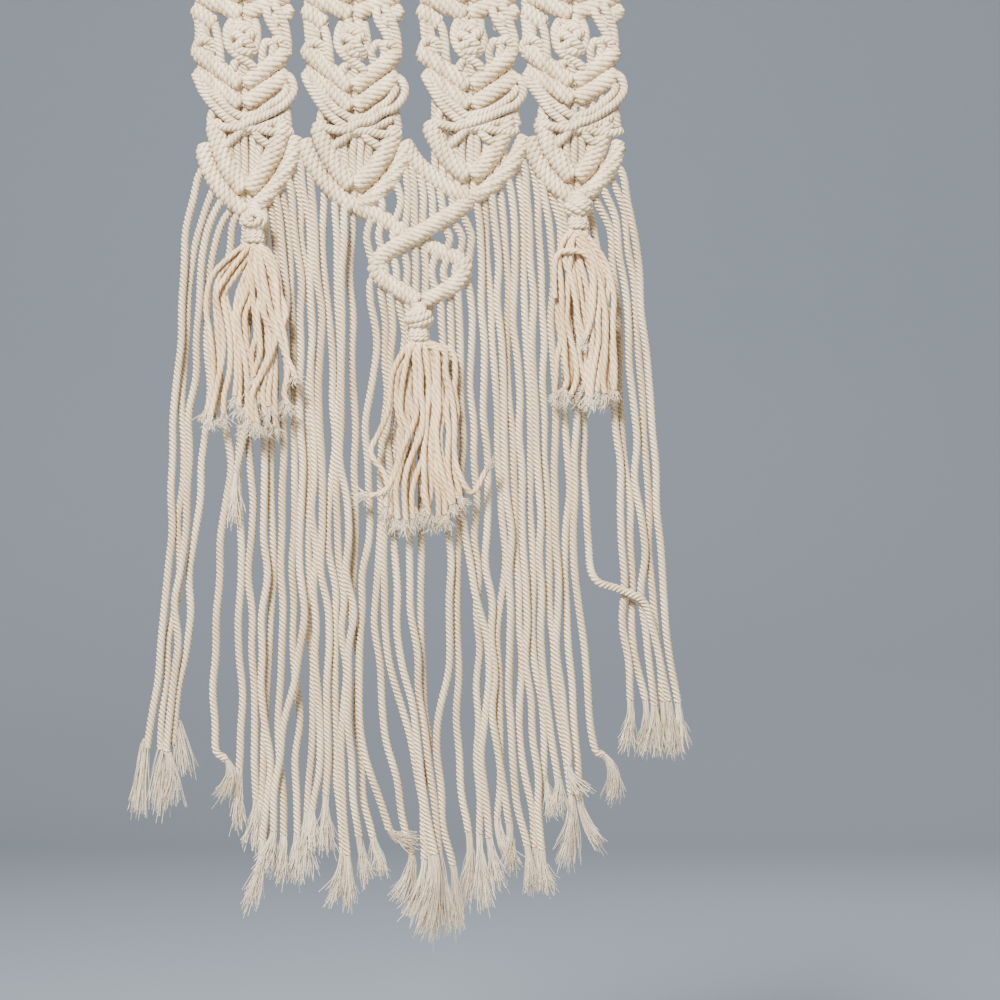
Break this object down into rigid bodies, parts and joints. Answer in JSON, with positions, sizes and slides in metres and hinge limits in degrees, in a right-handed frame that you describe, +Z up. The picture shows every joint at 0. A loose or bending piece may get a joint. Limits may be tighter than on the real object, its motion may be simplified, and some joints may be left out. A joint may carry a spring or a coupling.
{
  "type": "macrame wall hanging",
  "caption": "Knotted cotton wall hanging with a joined lower edge, long loose cord fringe and small hung tassels.",
  "frame": {"origin": "the middle of the top edge of the holding cord, in the hanging's middle plane", "axes": "+Z up, +X to the right as seen from the front, and the front faces -Y"},
  "size_m": [0.2206, 0.0178, 0.42],
  "materials": {
    "cotton_panel": "twisted natural cotton cord, matt",
    "cotton_fringe": "twisted natural cotton cord, matt, frayed ends",
    "cotton_tassel": "unplied natural cotton strands, matt",
    "cotton_wrap": "wound natural cotton cord, matt"
  },
  "bodies": {
    "root": {"knotted_panel": "cotton_panel", "fringe": "cotton_fringe", "tassel_left": "cotton_tassel", "tassel_centre": "cotton_tassel", "tassel_right": "cotton_tassel", "neck_wrap_left": "cotton_wrap", "neck_wrap_centre": "cotton_wrap", "neck_wrap_right": "cotton_wrap"}
  },
  "joints": []
}
